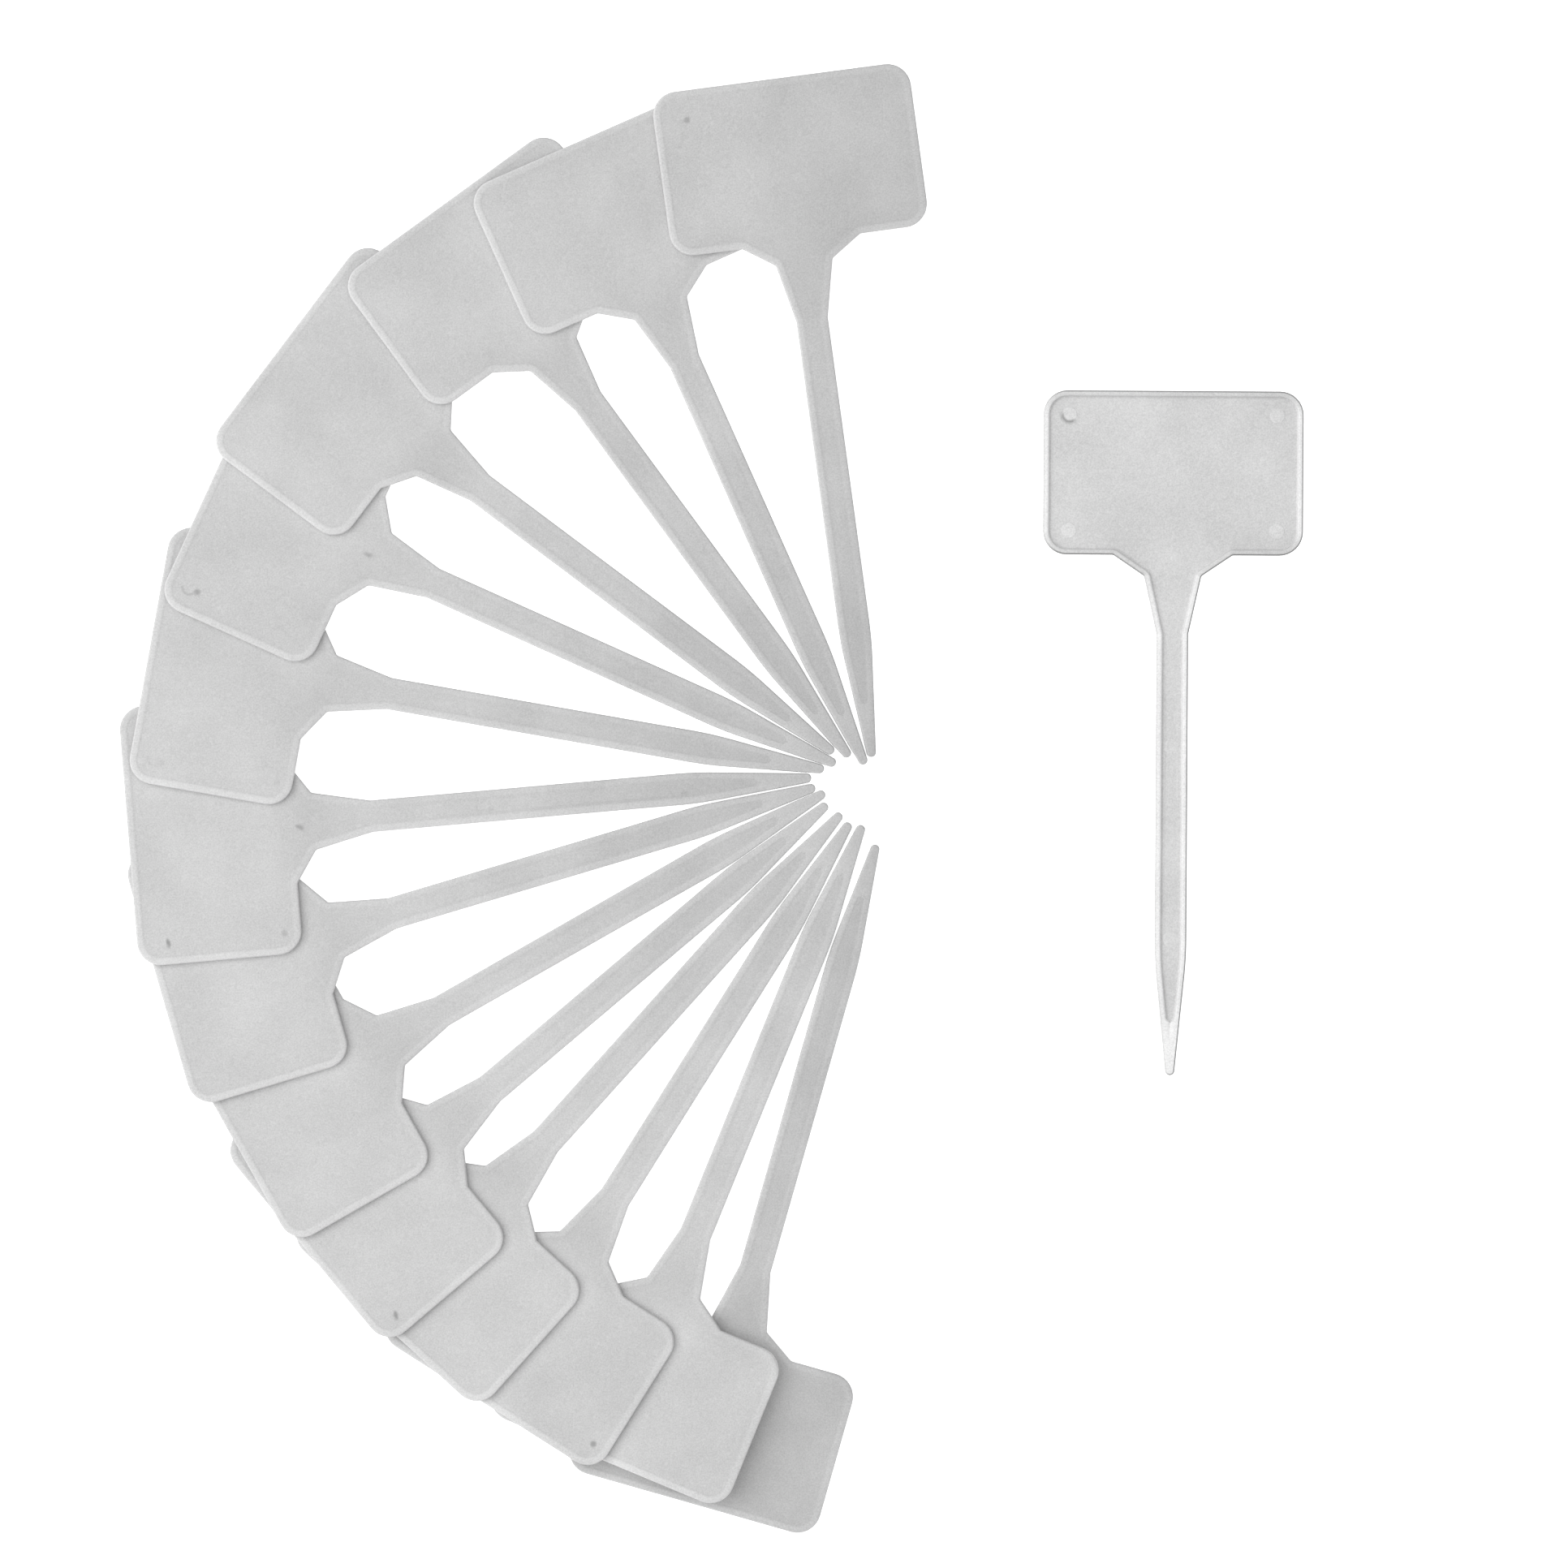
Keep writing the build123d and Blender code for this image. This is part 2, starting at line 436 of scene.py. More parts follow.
def rounded_outline(corners, radii):
    """A closed outline with round corners, anticlockwise from the axis at its foot, and its outward normals.

    Each corner is an arc whose normal turns evenly from the first run's to the second's. A point is the
    arc's centre plus the normal times the radius, which counts as negative where the outline is hollow.
    The left half mirrors the right half.
    """
    runs = run_directions(corners)
    heading = np.arctan2(runs[:, 1], runs[:, 0])
    turn = np.diff(heading)
    signed = np.sign(turn) * radii
    start = corners - runs[:-1] * np.abs(signed * np.tan(turn / 2))[:, None]
    angle = heading[:-1, None] - np.pi / 2 + turn[:, None] * np.linspace(0, 1, CORNER_STEPS)
    normal = np.stack([np.cos(angle), np.sin(angle)], axis=2)
    point = start[:, None] + signed[:, None, None] * (normal - normal[:, :1])
    mirror = np.array([-1, 1])
    foot, top = corners[0] * (0, 1), corners[-1] * (0, 1)
    right, right_normal = point.reshape(-1, 2), normal.reshape(-1, 2)
    points = np.vstack([foot, right, top, right[::-1] * mirror])
    normals = np.vstack([(0, -1), right_normal, (0, 1), right_normal[::-1] * mirror])
    return points, normals


def ease(value, start=0.0, span=1.0):
    """A smooth step from 0 at start to 1 one span on: three squares less two cubes of the span's share."""
    share = np.clip((value - start) / span, 0, 1)
    return share * share * (3 - 2 * share)


def section_rings(section):
    """The section from front to back, as a row of values for each name in RING_VALUES, one for each ring.

    share 0 follows the outline and share 1 the pocket's mouth. shift is how far a ring lies outside that
    line, height is above the back, and shade is how light the plastic is painted beside the front panel:
    the thick rim is lighter, partly as thicker plastic and partly as painted light. lip is how far a ring is
    on the border's painted light, crease how far it is in the crease's painted shade inside the border, side
    how far it is on the outer side of the rim, with its painted shadow, foot how far it is at the walls'
    foot, with its painted shadow, and edge how far it is over the front's edge, with its painted shade. The
    slope is a smooth step, and the rounds are quarter circles or ellipses, by the sine and cosine of the
    angle.
    """
    quarter = np.linspace(0, np.pi / 2, ROUND_STEPS)
    sine, cosine = np.sin(quarter), np.cos(quarter)
    step = np.linspace(0, 1, SLOPE_STEPS)
    across = np.linspace(0, 1, CROWN_STEPS)[1:-1]
    beyond, foot_shadow_share = np.array(FOOT_RINGS).T
    rim, depth, rim_shade = section.rim_round, section.pocket_depth, section.rim_shade
    panel = section.thickness - section.panel_sink
    slope_shift = section.rim_width - section.border_width - section.slope_width * (1 - step)
    foot_shift = -WALL_LEAN - FOOT_ROUND * (1 - cosine)

    def rows(share, shift, height, shade, **others):
        """Rings from single values and rows of values, with 0 for what isn't named."""
        values = {"share": share, "shift": shift, "height": height, "shade": shade, **others}
        return np.stack(np.broadcast_arrays(*(values.get(name, 0.0) for name in RING_VALUES)), axis=-1)

    rings = [
        rows(1, slope_shift[0] - np.array(PANEL_RINGS), panel, 1),
        rows(
            1,
            slope_shift,
            panel + section.panel_sink * ease(step),
            1,
            lip=ease(step, *LIP_SLOPE),
            crease=np.sin(np.pi * np.clip(step / CREASE_SPAN, 0, 1)) ** 2,
        ),
        rows(
            0,
            -section.edge_width * (1 - sine),
            section.thickness - section.edge_height * (1 - cosine),
            np.linspace(1, section.side_shade, ROUND_STEPS),
            lip=np.linspace(1, 0, ROUND_STEPS),
            edge=ease(EDGE_GAIN * quarter / quarter[-1]),
        ),
        rows(0, -rim * (1 - cosine), rim * (1 - sine), rim_shade, side=ease(RIM_SIDE_END - quarter)),
        rows(across, rim * (2 * across - 1), 0, rim_shade),
        rows(1, rim * (1 - sine), INNER_ROUND * rim * (1 - cosine), rim_shade),
        rows(
            1,
            foot_shift,
            depth - FOOT_ROUND * (1 - sine),
            np.linspace(rim_shade, section.floor_shade, ROUND_STEPS),
            foot=sine,
        ),
        rows(1, foot_shift[-1] - beyond, depth, section.floor_shade, foot=foot_shadow_share),
    ]
    return dict(zip(RING_VALUES, np.vstack(rings).T))


def carry_section(rings, outline, facing, plan, section):
    """Plan points of the section carried round the outline, as rings x points x 2.

    A point lies between the outline and the pocket's mouth by its ring's share, and is then moved along
    the normal there by its ring's shift. On the front the shift grows with a smooth step along the point,
    so that the border narrows with it.
    """
    mouth, mouth_facing = rounded_outline(*pocket_corners(plan, section))
    mouth[0, 1] -= section.pocket_point
    share, shift, height = (rings[name][:, None, None] for name in ("share", "shift", "height"))
    up_point = ease(mouth[:, 1:], section.pocket_end, plan.point_length - section.pocket_end)
    on_front = (share == 1) & (height > FRONT_SHARE * section.thickness)
    shift = shift * np.where(on_front, POINT_BORDER + (1 - POINT_BORDER) * up_point, 1)
    normal = (1 - share) * facing + share * mouth_facing
    return (1 - share) * outline + share * mouth + shift * normal


def ring_light(rings, outline, facing, plan, section):
    """How light the plastic looks at every point of the rings, as rings x points.

    What is lighter than the pocket's floor is painted darker, as shade, where it runs across the stake,
    above the point.
    """
    across = np.abs(facing[:, 1]) * ease(outline[:, 1], plan.point_length, plan.point_length)
    light = rings["shade"][:, None]
    thick = np.clip(light - section.floor_shade, 0, None) / (section.rim_shade - section.floor_shade)
    return light * (1 - (1 - section.end_shade) * thick * across)


def tip_sink(section, points):
    """Depth of the groove in the tip's back: a bell across it, easing in from nothing to the pocket's end."""
    start = section.pocket_end - section.sink_length
    along = ease(points[:, 1], start, section.sink_length)
    across = np.exp(-((points[:, 0] / section.sink_half_width) ** 2))
    near_back = points[:, 2] < section.pocket_depth / 2
    near_tip = points[:, 1] < section.pocket_end + section.rim_width
    return section.sink_depth * along * across * near_back * near_tip


def pin_places(plan, section):
    """Where the ejector pins stood: the head's corners, the middle of its foot, and two along the stem."""
    across = section.pin_span / 2
    head_foot = plan.length - plan.head_height
    low, high = head_foot + section.pin_edge, plan.length - section.pin_edge
    head = [(side * across, reach) for side in (-1, 1) for reach in (low, high)]
    return np.array(head + [(0, head_foot), (0, section.low_pin), (0, section.high_pin)])


def mark_rings(places, radii):
    """Circles round each place, one for each radius, and each place itself, as places x points x 2."""
    angle = np.linspace(0, 2 * np.pi, PIN_STEPS, endpoint=False)
    circle = np.stack([np.cos(angle), np.sin(angle)], axis=1)
    rings = (np.asarray(radii)[:, None, None] * circle).reshape(-1, 2)
    return places[:, None] + np.vstack([rings, (0, 0)])


def ring_faces(rings, count):
    """Quads between each ring and the next, closed round the outline."""
    here = np.arange(count)
    beside = (here + 1) % count
    row = np.arange(rings - 1)[:, None] * count
    corners = [row + here, row + count + here, row + count + beside, row + beside]
    return np.stack(corners, axis=2).reshape(-1, 4)


def filled(outline, inside, outline_start, inside_start):
    """Triangles that fill an outline and pass through all the points inside it, anticlockwise.

    The numbers of the outline's points count up from one start, and those of the points inside from another.
    """
    count = len(outline)
    points = np.vstack([outline, inside]).tolist()
    only_inside = 1
    result = delaunay_2d_cdt(points, [], [list(range(count))], only_inside, SAME_POINT)
    triangles, sources = np.array(result[2]), np.array(result[3]).ravel()
    number = sources[triangles]
    return np.where(number < count, number + outline_start, number - count + inside_start)


def depth_inside(points, outline):
    """How far points lie inside a closed outline, negative outside it.

    The distance is to the nearest edge. A point is inside where the edges that pass it, seen along x, are
    odd in number.
    """
    start, edge = outline, np.roll(outline, -1, axis=0) - outline
    square = np.maximum(np.sum(edge * edge, axis=1), NO_LENGTH**2)
    arm = points[:, None] - start
    along = np.clip(np.sum(arm * edge, axis=2) / square, 0, 1)
    distance = np.linalg.norm(arm - along[:, :, None] * edge, axis=2).min(axis=1)
    below = arm[:, :, 1] >= 0
    passes = below != (arm[:, :, 1] - edge[:, 1] >= 0)
    rise = np.where(edge[:, 1] == 0, 1, edge[:, 1])
    crossing = arm[:, :, 0] < edge[:, 0] * arm[:, :, 1] / rise
    inside = np.count_nonzero(passes & crossing, axis=1) % 2 == 1
    return np.where(inside, distance, -distance)


class StakeMesh:
    """The mesh of one stake in its own axes: points, faces, shade and what its place does to the shade."""

    def __init__(self, plan, section):
        """Work out the points, join them with faces, and give each point its painted light and shade."""
        self.section = section
        self.length = plan.length
        self.radius = section.pin_radius
        self.panel = section.thickness - section.panel_sink
        self.pins = pin_places(plan, section)
        right, radii = plan_corners(plan)
        self.corners = np.vstack([right, right[::-1] * (-1, 1)])

        outline, facing = rounded_outline(right, radii)
        rings = section_rings(section)
        flat = carry_section(rings, outline, facing, plan, section)
        body = np.dstack([flat, np.broadcast_to(rings["height"][:, None], flat.shape[:2])]).reshape(-1, 3)
        body[:, 2] += tip_sink(section, body)
        on_panel = self.panel_points(flat[0], plan)
        on_floor, up_mark = self.floor_points(flat[-1])
        front = np.insert(on_panel, 2, self.panel, axis=1)
        back = np.column_stack([on_floor, section.pocket_depth - section.pin_rise * up_mark])
        self.points = np.vstack([body, front, back])
        self.flat = self.points[:, :2]
        self.front = self.points[:, 2] > FRONT_SHARE * section.thickness

        count = len(outline)
        front_fill = filled(flat[0], on_panel, 0, len(body))
        back_fill = filled(flat[-1], on_floor, len(body) - count, len(body) + len(front))[:, ::-1]
        self.faces = ring_faces(len(flat), count).tolist() + front_fill.tolist() + back_fill.tolist()

        head_foot = plan.length - plan.head_height
        up_stem = self.flat[:, 1] / head_foot
        on_stem = ease(up_stem, *STEM_START) * (1 - ease(up_stem, *STEM_END))
        # Painted shade towards the tip and at the neck's top, less painted light on the middle of the stem
        grey = self.painted_end_shade(up_stem, head_foot - plan.shoulder_drop) - STEM_LIGHT * on_stem
        body_light = ring_light(rings, outline, facing, plan, section).ravel()
        # The pocket's floor is painted lighter, and the marks' tops lighter still
        back_light = section.floor_shade * (1 + PAD_LIGHT * up_mark)
        light = np.concatenate([body_light, np.ones(len(front)), back_light])
        self.shade = light * (1 - grey * self.front)

        # Painted light on the border, weighted by its facing in laid_shade, and painted shade in the crease
        border = (section.border_shade - 1) * rings["lip"] - section.crease_shade * rings["crease"]
        self.border = self.on_rings(border, count) * (1 - STEM_BORDER * on_stem)
        # Painted shadow on the rim's outer side
        self.rim_side = self.on_rings((section.rim_side_shade - 1) * rings["side"], count)
        # Painted shadow along the foot of the pocket's walls
        self.wall_foot = self.on_rings((section.foot_shade - 1) * rings["foot"], count)
        # Painted shade on the front's outer edge
        self.edge = self.on_rings(-EDGE_SHADE * rings["edge"], count)
        self.facing = np.zeros((len(self.points), 2))
        self.facing[: len(body)] = np.tile(facing, (len(flat), 1))
        self.above_point = ease(self.flat[:, 1] / plan.point_length)

    def panel_points(self, edge, plan):
        """Points on the front panel inside its edge: rings over the marks, and a grid clear of them."""
        radii = self.radius * np.linspace(STAIN_REACH, STAIN_CORE, 2 * MARK_RINGS)
        rings = mark_rings(self.pins, radii).reshape(-1, 2)
        half = plan.head_width / 2
        across = np.arange(-half, half, PANEL_SPACING)
        along = np.arange(0, plan.length, PANEL_SPACING)
        grid = np.stack(np.meshgrid(across, along), axis=2).reshape(-1, 2)
        from_pins = np.linalg.norm(grid[:, None] - self.pins, axis=2).min(axis=1)
        grid = grid[from_pins > GRID_REACH * self.radius]
        rings = rings[depth_inside(rings, edge) > RING_ROOM]
        return np.vstack([rings, grid[depth_inside(grid, edge) > GRID_ROOM]])

    def floor_points(self, edge):
        """Points of the ejector marks on the pocket's floor, and how far each is up its mark."""
        tops = np.linspace(self.radius - PAD_SLOPE, PAD_CORE * self.radius, MARK_RINGS)
        radii = np.append((CLEAR_REACH * self.radius, self.radius + PAD_FOOT, self.radius), tops)
        points = mark_rings(self.pins, radii).reshape(-1, 2)
        on_top = np.append(np.repeat(radii < self.radius, PIN_STEPS), True)
        up_mark = (np.array(PIN_RISES)[:, None] * on_top).ravel()
        inside = depth_inside(points, edge) > RING_ROOM
        return points[inside], up_mark[inside]

    def painted_end_shade(self, up_stem, neck_top):
        """How much darker the front is painted, as shade, towards the tip, at the very tip and at the neck's
        top.

        It falls off as the square of the share of the stem that is left, as a smooth step and as a bell.
        """
        along = self.flat[:, 1]
        grey = (1 - self.section.tip_shade) * (1 - np.clip(up_stem, 0, 1)) ** 2
        grey += TIP_END_SHADE * (1 - ease(along, 0, TIP_END))
        return grey + NECK_SHADE * np.exp(-(((along - neck_top) / NECK_BLUR) ** 2))

    def on_rings(self, values, count):
        """Values of the rings at their points, and 0 at the points that fill the front and the floor."""
        spread = np.repeat(values, count)
        return np.pad(spread, (0, len(self.points) - len(spread)))

    def smudged(self, marks, axes):
        """How dark each point is smudged: a dot or dash and an arc at each named mark, for the stake's axes.

        Each fades with the distance from its middle. A dash has its distance along and across it divided by
        how much longer and narrower it is.
        """
        dark = np.zeros(len(self.points))
        for number, smudge in marks.items():
            arm = (self.flat - self.pins[number]) / self.radius
            reach = np.linalg.norm(arm, axis=1)
            off_dot = arm - DOT_REACH * axes[:2] @ DOT_SIDE
            if smudge.dash is not None:
                angle = np.radians(smudge.dash)
                along = axes[:2] @ (np.cos(angle), np.sin(angle), 0)
                across = axes[:2] @ (-np.sin(angle), np.cos(angle), 0)
                off_dot = np.column_stack([off_dot @ along, off_dot @ across]) / DASH
            dot = ease(DOT_FADE - np.linalg.norm(off_dot, axis=1) / DOT_SIZE)
            facing = arm @ (axes[:2] @ ARC_SIDE) / np.maximum(reach, ARC_CORE)
            arc = ease(ARC_GAIN * facing) * ease(ARC_FADE - np.abs(reach - ARC_REACH) / ARC_WIDTH)
            dark = np.maximum(dark, np.maximum(smudge.dot * dot, smudge.arc * arc))
        return dark

    def laid_shade(self, place, below, above):
        """The shade where the stake lies, for its origin and axes and those of the stakes below and above it.

        The border is painted lighter where it faces the lower left, and the edge of a front that is up is
        painted darker where it faces the far side. On a stake with its back up, the rim's outer side is
        painted darker where it faces away from the lamp, and so is the foot of the walls on the lamp's side.
        All of these are painted light and shade.
        """
        origin, axes = place

        def facing(side):
            """How squarely the points face a direction of the frame, as the product of the two."""
            return self.facing @ (axes[:2] @ side)

        lip = 1 + (LIP_MIDDLE - facing(LIP_TURN) - 1) * self.above_point
        shade = self.shade * (1 + self.border * lip)
        if axes[2, 2] < 0:
            # Painted shadow on the rim's outer side, taken away where it faces the lamp
            shade *= 1 + self.rim_side * (1 - LIT_SHARE * ease(facing(LIT_SIDE)))
            # Painted shadow at the foot of the walls on the lamp's side
            shade *= 1 + self.wall_foot * np.clip(HIDDEN_GAIN * facing(HIDDEN_SIDE), 0, 1)
        else:
            shade *= 1 + self.edge * ease(facing(FAR_SIDE), *FAR_FACING)
        spots = self.points[self.front] @ axes + origin
        # Painted shade near the floor and painted light beside the stake above
        shade[self.front] *= self.touch_shade(spots, [*below, *above]) * self.side_light(spots, above)
        return shade

    def depth_in(self, place, spots):
        """How far spots in the frame lie inside the outline of a stake with this origin and these axes."""
        origin, axes = place
        return depth_inside((spots - origin) @ axes[:2].T, self.corners)

    def side_light(self, spots, above):
        """Painted light on the front at spots in the frame beside the stake above, for light off its white
        side.

        The light falls off as the exponential of the distance from that stake's outline.
        """
        light = np.ones(len(spots))
        for place in above:
            light += SIDE_LIGHT * np.exp(-np.abs(self.depth_in(place, spots)) / SIDE_FADE)
        return light

    def touch_shade(self, spots, near):
        """Painted shade on the thin front at spots in the frame: darker by the floor, less so by other
        stakes.

        The painted shade falls off as the exponential of the height. A spot counts as beside another stake by
        how deep it is inside that stake's outline, as a smooth step with its middle on the outline.
        """
        blur = self.section.backing_blur
        cover = np.zeros(len(spots))
        for place in near:
            cover = np.maximum(cover, ease(self.depth_in(place, spots), -blur, 2 * blur))
        close = np.exp(-np.clip(spots[:, 2] - self.panel, 0, None) / self.section.touch_height)
        return 1 - (1 - self.section.floor_touch_shade) * close * (1 - cover)


def stake_axes(node):
    """Where a stake lies in the frame: its tip's middle on its back, its own axes as rows, and its length.

    The front is the widest flat side, and its normal is z. Area moments of the front give y, its long
    axis: a triangle's moment is its area over 12 times the squares of its corners and of their sum. The
    tip is the end further from the middle of area.
    """
    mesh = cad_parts[node].data
    mesh.calc_loop_triangles()
    points = np.empty(len(mesh.vertices) * 3, np.float32)
    mesh.vertices.foreach_get("co", points)
    points = points.reshape(-1, 3).astype(float)
    index = np.empty(len(mesh.loop_triangles) * 3, np.int32)
    mesh.loop_triangles.foreach_get("vertices", index)
    corners = points[index.reshape(-1, 3)]
    cross = np.cross(corners[:, 1] - corners[:, 0], corners[:, 2] - corners[:, 0])
    double = np.linalg.norm(cross, axis=1)
    corners, cross, double = (values[double > NO_AREA] for values in (corners, cross, double))
    normal = cross / double[:, None]
    level = np.sum(normal * corners[:, 0], axis=1)
    alike = (normal @ normal.T > SAME_FACING) & (np.abs(level[:, None] - level) < SAME_LEVEL)
    front = alike[(alike @ double).argmax()]
    up = double[front] @ normal[front]
    up /= np.linalg.norm(up)
    middle = double[front] @ corners[front].mean(axis=1) / double[front].sum()
    arms = corners[front] - middle
    arms = np.concatenate([arms, arms.sum(axis=1, keepdims=True)], axis=1)
    moment = np.einsum("t,tki,tkj->ij", double[front], arms, arms)
    along = np.linalg.eigh(moment)[1][:, -1]
    reach = (points - middle) @ along
    if reach.max() > -reach.min():
        along, reach = -along, -reach
    rise = (points - middle) @ up
    origin = middle + along * reach.min() + up * rise.min()
    return origin, np.stack([np.cross(along, up), along, up]), reach.max() - reach.min()


def grain_group():
    """A node group for the moulded surface: mottled colour, uneven gloss and the height of its grain."""
    group = bpy.data.node_groups.new(GRAIN, "ShaderNodeTree")
    sockets = {
        "INPUT": {
            "Coordinates": "Vector",
            "Colour": "Color",
            "Smudge Colour": "Color",
            "Shade": "Float",
            "Smudge": "Float",
            "Mottle": "Float",
            "Roughness": "Float",
        },
        "OUTPUT": {"Colour": "Color", "Roughness": "Float", "Height": "Float"},
    }
    for in_out, kinds in sockets.items():
        for name, kind in kinds.items():
            group.interface.new_socket(name, in_out=in_out, socket_type=f"NodeSocket{kind}")
    given = group.nodes.new("NodeGroupInput").outputs
    put_out = group.nodes.new("NodeGroupOutput").inputs
    link = group.links.new

    def noise(scale, detail):
        """The socket of a noise on the coordinates."""
        node = group.nodes.new("ShaderNodeTexNoise")
        node.inputs["Scale"].default_value = scale
        node.inputs["Detail"].default_value = detail
        link(given["Coordinates"], node.inputs["Vector"])
        return node.outputs["Fac"]

    def maths(operation, *values):
        """The socket of an operation on sockets and plain numbers."""
        node = group.nodes.new("ShaderNodeMath")
        node.operation = operation
        for socket, value in zip(node.inputs, values):
            if isinstance(value, float):
                socket.default_value = value
            else:
                link(value, socket)
        return node.outputs[0]

    fine = noise(*FINE_NOISE)
    mottle = noise(*MOTTLE_NOISE)
    cloud = noise(*CLOUD_NOISE)
    sum_middle = (1 + MOTTLE_WEIGHT + CLOUD_WEIGHT) / 2
    uneven = maths("MULTIPLY_ADD", mottle, MOTTLE_WEIGHT, fine)
    uneven = maths("SUBTRACT", maths("MULTIPLY_ADD", cloud, CLOUD_WEIGHT, uneven), sum_middle)
    grain = maths("MULTIPLY_ADD", uneven, given["Mottle"], 1.0)
    grained = group.nodes.new("ShaderNodeVectorMath")
    grained.operation = "SCALE"
    link(given["Colour"], grained.inputs[0])
    # The Shade input carries painted light and shade into the colour
    link(maths("MULTIPLY", grain, given["Shade"]), grained.inputs["Scale"])
    smudged = group.nodes.new("ShaderNodeMix")
    smudged.data_type = "RGBA"
    clean_socket, smudge_socket, colour_socket = smudged.inputs[6], smudged.inputs[7], smudged.outputs[2]
    link(given["Smudge"], smudged.inputs["Factor"])
    link(grained.outputs[0], clean_socket)
    link(given["Smudge Colour"], smudge_socket)
    link(colour_socket, put_out["Colour"])
    link(maths("MULTIPLY_ADD", uneven, GLOSS_CHANGE, given["Roughness"]), put_out["Roughness"])
    link(maths("ADD", maths("MULTIPLY", fine, FINE_HEIGHT), mottle), put_out["Height"])
    return group


def plastic():
    """White moulded plastic: the surface group, fed by the shade and smudge attributes, feeds the shader."""
    material = bpy.data.materials.get(PLASTIC)
    if material:
        return material
    finish = bpy.context.scene.stake_finish
    material = bpy.data.materials.new(PLASTIC)
    material.use_nodes = True
    tree = material.node_tree
    link = tree.links.new
    shader = tree.nodes["Principled BSDF"]
    shader.inputs["IOR"].default_value = PLASTIC_IOR
    surface = tree.nodes.new("ShaderNodeGroup")
    surface.node_tree = bpy.data.node_groups.get(GRAIN) or grain_group()
    surface.inputs["Colour"].default_value = (*finish.colour, 1.0)
    surface.inputs["Smudge Colour"].default_value = (*finish.smudge_colour, 1.0)
    surface.inputs["Mottle"].default_value = finish.mottle
    surface.inputs["Roughness"].default_value = finish.roughness
    place = tree.nodes.new("ShaderNodeTexCoord")
    link(place.outputs["Object"], surface.inputs["Coordinates"])
    # shade holds painted light and shade; smudge holds the grey smudges
    for attribute in ("shade", "smudge"):
        node = tree.nodes.new("ShaderNodeAttribute")
        node.attribute_name = attribute
        link(node.outputs["Fac"], surface.inputs[attribute.capitalize()])
    bump = tree.nodes.new("ShaderNodeBump")
    bump.inputs["Strength"].default_value = 1.0
    bump.inputs["Distance"].default_value = finish.bump
    link(surface.outputs["Height"], bump.inputs["Height"])
    link(surface.outputs["Colour"], shader.inputs["Base Color"])
    link(surface.outputs["Roughness"], shader.inputs["Roughness"])
    link(bump.outputs["Normal"], shader.inputs["Normal"])
    return material


def lay_stake(shape, node, below=(), above=()):
    """Put a stake's mesh where the frame has the node, as a piece that replaces it and rides on its body.

    below and above hold the origins and axes of the stakes under it and of the next one over it.
    """
    origin, axes, reach = stake_axes(node)
    if abs(reach - shape.length) > LENGTH_TOLERANCE:
        raise ValueError(f"{node} is {reach / MM:.1f} mm long in the frame")
    mesh = bpy.data.meshes.new(node)
    mesh.from_pydata((shape.points @ axes + origin).tolist(), [], shape.faces)
    mesh.shade_smooth()
    # Painted light and shade for where the stake lies
    shade = shape.laid_shade((origin, axes), below, above)
    smudge = shape.smudged(SMUDGES.get(node, {}), axes)
    for name, values in (("shade", shade), ("smudge", smudge)):
        attribute = mesh.attributes.new(name, "FLOAT", "POINT")
        attribute.data.foreach_set("value", values.astype(np.float32))
    loops = np.empty(len(mesh.loops), np.int32)
    mesh.loops.foreach_get("vertex_index", loops)
    plan_map = (shape.flat[loops] / shape.length).astype(np.float32)
    mesh.uv_layers.new(name="plan").data.foreach_set("uv", plan_map.ravel())
    mesh.materials.append(plastic())
    piece = bpy.data.objects.new(f"{node}_moulding", mesh)
    bpy.context.scene.collection.objects.link(piece)
    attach(piece, node)
    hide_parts(node)


class STAKES_OT_fan(Operator):
    """Build the stakes of the fan, front up"""

    bl_idname = "stakes.fan"
    bl_label = "Fan of stakes"

    def execute(self, context):
        shape = StakeMesh(context.scene.stake_plan, context.scene.stake_section)
        places = [stake_axes(node)[:2] for node in FAN]
        for number, node in enumerate(FAN):
            lay_stake(shape, node, places[:number], places[number + 1 : number + 2])
        return {"FINISHED"}


class STAKES_OT_single(Operator):
    """Build the stake that lies by itself, back up"""

    bl_idname = "stakes.single"
    bl_label = "Single stake"

    def execute(self, context):
        lay_stake(StakeMesh(context.scene.stake_plan, context.scene.stake_section), SINGLE)
        return {"FINISHED"}


def seen_ray(tree):
    """A socket that is 1 on rays from the camera, mirrors and glass, and 0 on rays that light the stakes."""
    path = tree.nodes.new("ShaderNodeLightPath")
    seen = path.outputs["Is Camera Ray"]
    for kind in ("Is Glossy Ray", "Is Transmission Ray"):
        either = tree.nodes.new("ShaderNodeMath")
        either.operation = "MAXIMUM"
        tree.links.new(seen, either.inputs[0])
        tree.links.new(path.outputs[kind], either.inputs[1])
        seen = either.outputs[0]
    return seen


def floor_material(glow):
    """White floor: it is lit and keeps shadows, and the camera and mirrors see some white added to it."""
    material = bpy.data.materials.new("white_floor")
    material.use_nodes = True
    tree = material.node_tree
    shader = tree.nodes["Principled BSDF"]
    shader.inputs["Base Color"].default_value = (FLOOR_GREY, FLOOR_GREY, FLOOR_GREY, 1.0)
    shader.inputs["Roughness"].default_value = FLOOR_ROUGHNESS
    strength = tree.nodes.new("ShaderNodeMath")
    strength.operation = "MULTIPLY"
    tree.links.new(seen_ray(tree), strength.inputs[0])
    strength.inputs[1].default_value = glow
    shader.inputs["Emission Color"].default_value = WHITE
    tree.links.new(strength.outputs[0], shader.inputs["Emission Strength"])
    return material


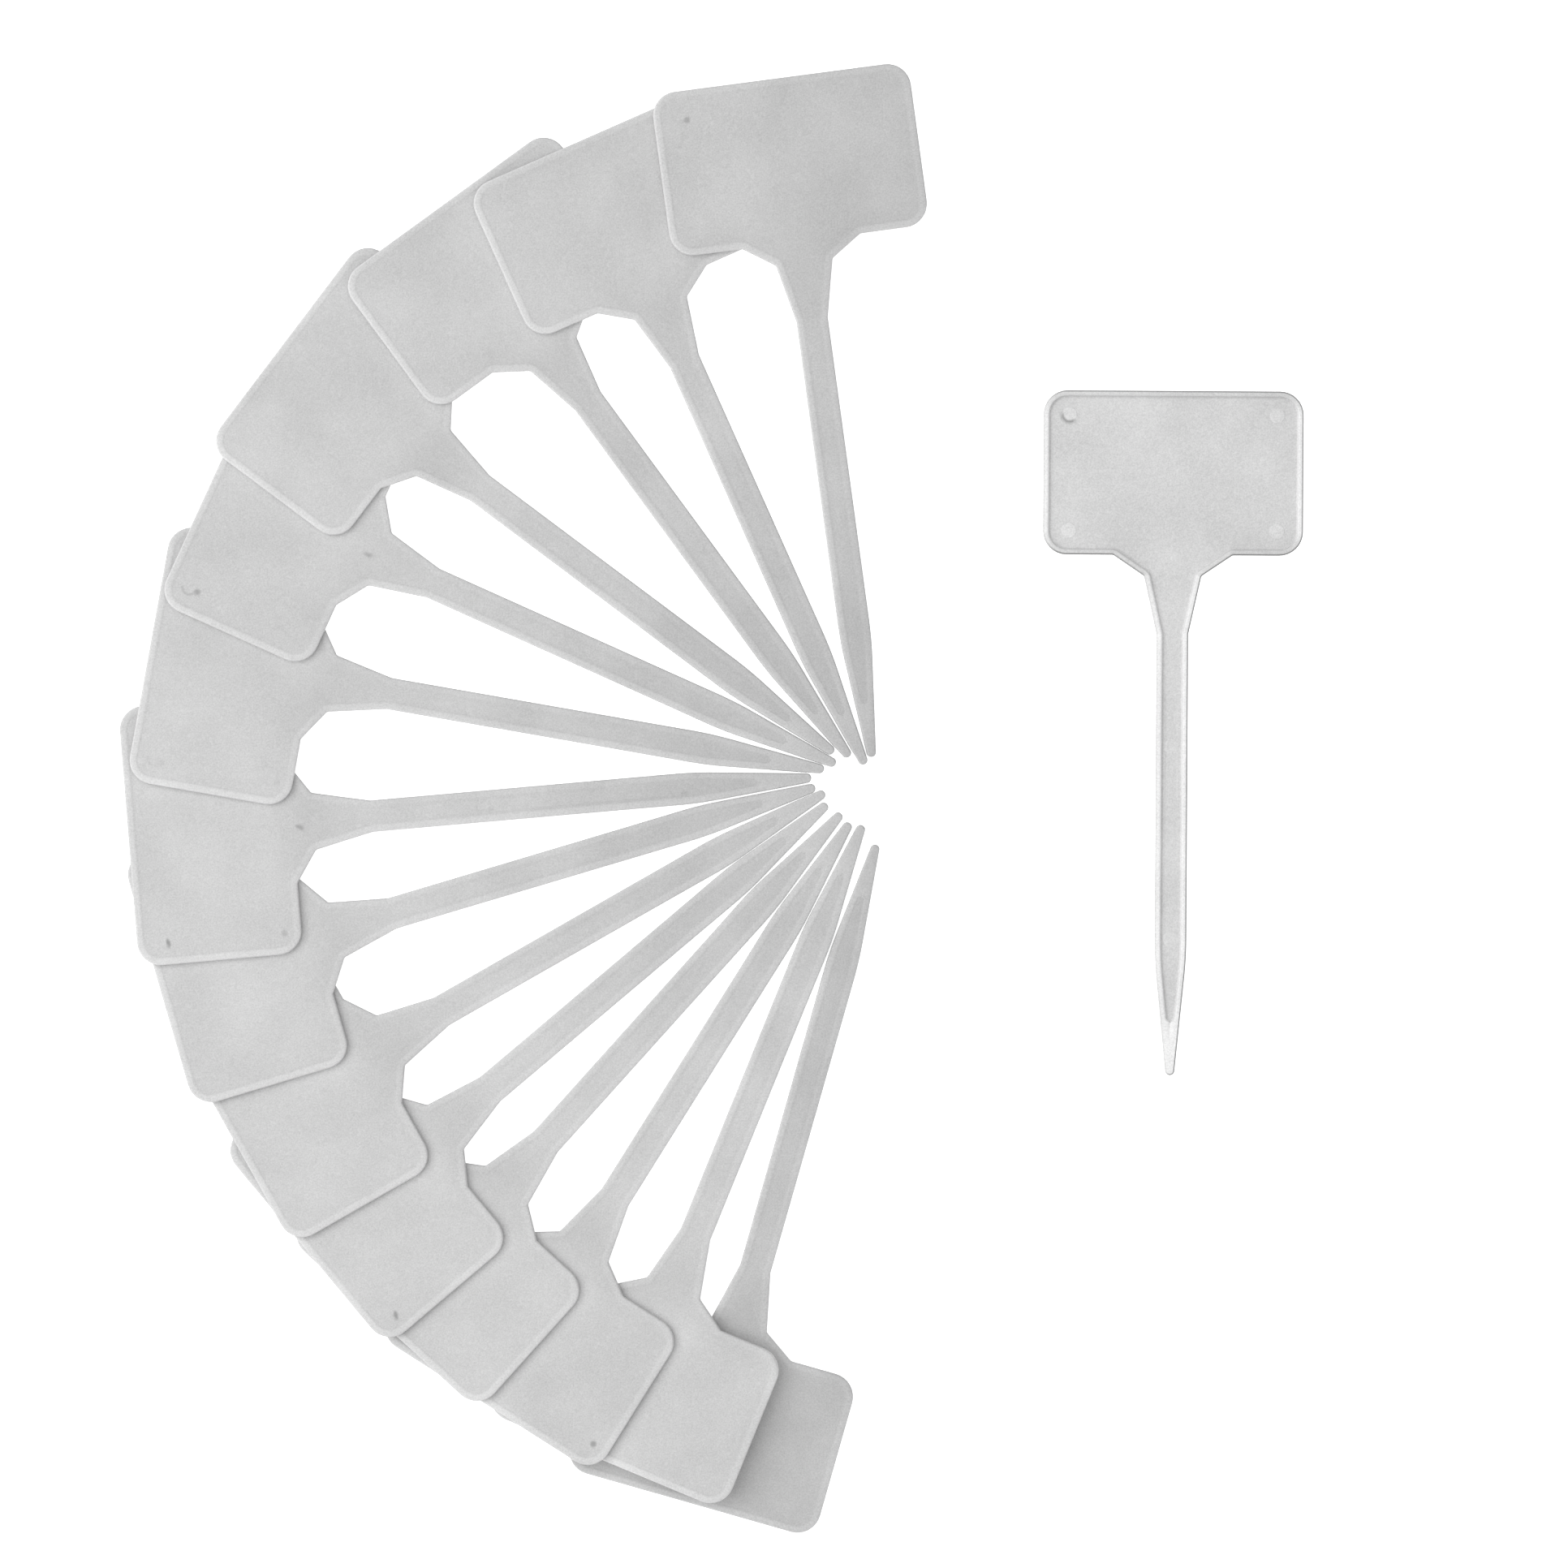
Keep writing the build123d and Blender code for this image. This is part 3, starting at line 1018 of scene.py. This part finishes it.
def light_sky(scene, strength):
    """An even sky that the camera sees as plain white."""
    world = bpy.data.worlds.new("sky")
    scene.world = world
    world.use_nodes = True
    tree = world.node_tree
    background = tree.nodes["Background"]
    background.inputs["Color"].default_value = WHITE
    level = tree.nodes.new("ShaderNodeMapRange")
    tree.links.new(seen_ray(tree), level.inputs["Value"])
    level.inputs["To Min"].default_value = strength
    level.inputs["To Max"].default_value = 1.0
    tree.links.new(level.outputs["Result"], background.inputs["Strength"])


def add_floor(glow):
    """A square floor just under the stakes."""
    turns = ((-1, -1), (1, -1), (1, 1), (-1, 1))
    corners = [(x * FLOOR_HALF, y * FLOOR_HALF, -FLOOR_DROP) for x, y in turns]
    mesh = bpy.data.meshes.new("floor")
    mesh.from_pydata(corners, [], [(0, 1, 2, 3)])
    mesh.materials.append(floor_material(glow))
    floor = bpy.data.objects.new("floor", mesh)
    bpy.context.scene.collection.objects.link(floor)


def add_key(stage):
    """A square soft lamp that faces the middle of the view."""
    lamp = bpy.data.lights.new("key", "AREA")
    lamp.size = stage.key_size
    lamp.energy = stage.key_power
    key = bpy.data.objects.new("key", lamp)
    key.location = stage.key_place
    aim = Vector((*stage.view_centre, 0.0)) - key.location
    key.rotation_euler = aim.to_track_quat("-Z", "Y").to_euler()
    bpy.context.scene.collection.objects.link(key)


def add_camera(scene, stage):
    """A camera that looks straight down.

    Its lens is the sensor's width times the camera's height over the view's width.
    """
    camera = bpy.data.cameras.new("camera")
    camera.sensor_width = SENSOR_WIDTH
    camera.lens = SENSOR_WIDTH * stage.camera_height / stage.view_width
    camera.clip_end = VIEW_DEPTH
    holder = bpy.data.objects.new("camera", camera)
    holder.location = (*stage.view_centre, stage.camera_height)
    scene.collection.objects.link(holder)
    scene.camera = holder


class STAKES_OT_stage(Operator):
    """Set the sky, the floor, the lamp and the camera"""

    bl_idname = "stakes.stage"
    bl_label = "Stage"

    def execute(self, context):
        scene = context.scene
        stage = scene.stake_stage
        scene.view_settings.view_transform = "Standard"
        light_sky(scene, stage.sky_strength)
        add_floor(stage.floor_glow)
        add_key(stage)
        add_camera(scene, stage)
        return {"FINISHED"}


class STAKES_PT_panel(Panel):
    """Lists the stakes and their stage"""

    bl_idname = "STAKES_PT_panel"
    bl_label = "Plant label stakes"
    bl_space_type = "VIEW_3D"
    bl_region_type = "UI"
    bl_category = "Stakes"

    def draw(self, context):
        for operator in OPERATORS:
            self.layout.operator(operator.bl_idname)
        for name in SETTINGS:
            column = self.layout.column()
            settings = getattr(context.scene, name)
            for prop in settings.bl_rna.properties:
                if prop.identifier not in {"rna_type", "name"}:
                    column.prop(settings, prop.identifier)


SETTINGS = {
    "stake_plan": StakePlan,
    "stake_section": StakeSection,
    "stake_finish": StakeFinish,
    "stake_stage": StageSettings,
}
OPERATORS = (STAKES_OT_fan, STAKES_OT_single, STAKES_OT_stage)
CLASSES = (*SETTINGS.values(), *OPERATORS, STAKES_PT_panel)


def register():
    """Register the classes and give every scene the settings."""
    for cls in CLASSES:
        bpy.utils.register_class(cls)
    for name, cls in SETTINGS.items():
        setattr(bpy.types.Scene, name, PointerProperty(type=cls))


def unregister():
    """Take the settings off the scenes and the classes out again."""
    for name in SETTINGS:
        delattr(bpy.types.Scene, name)
    for cls in reversed(CLASSES):
        bpy.utils.unregister_class(cls)


def main():
    register()
    bpy.ops.stakes.fan()
    bpy.ops.stakes.single()
    bpy.ops.stakes.stage()


if __name__ == "__main__":
    main()
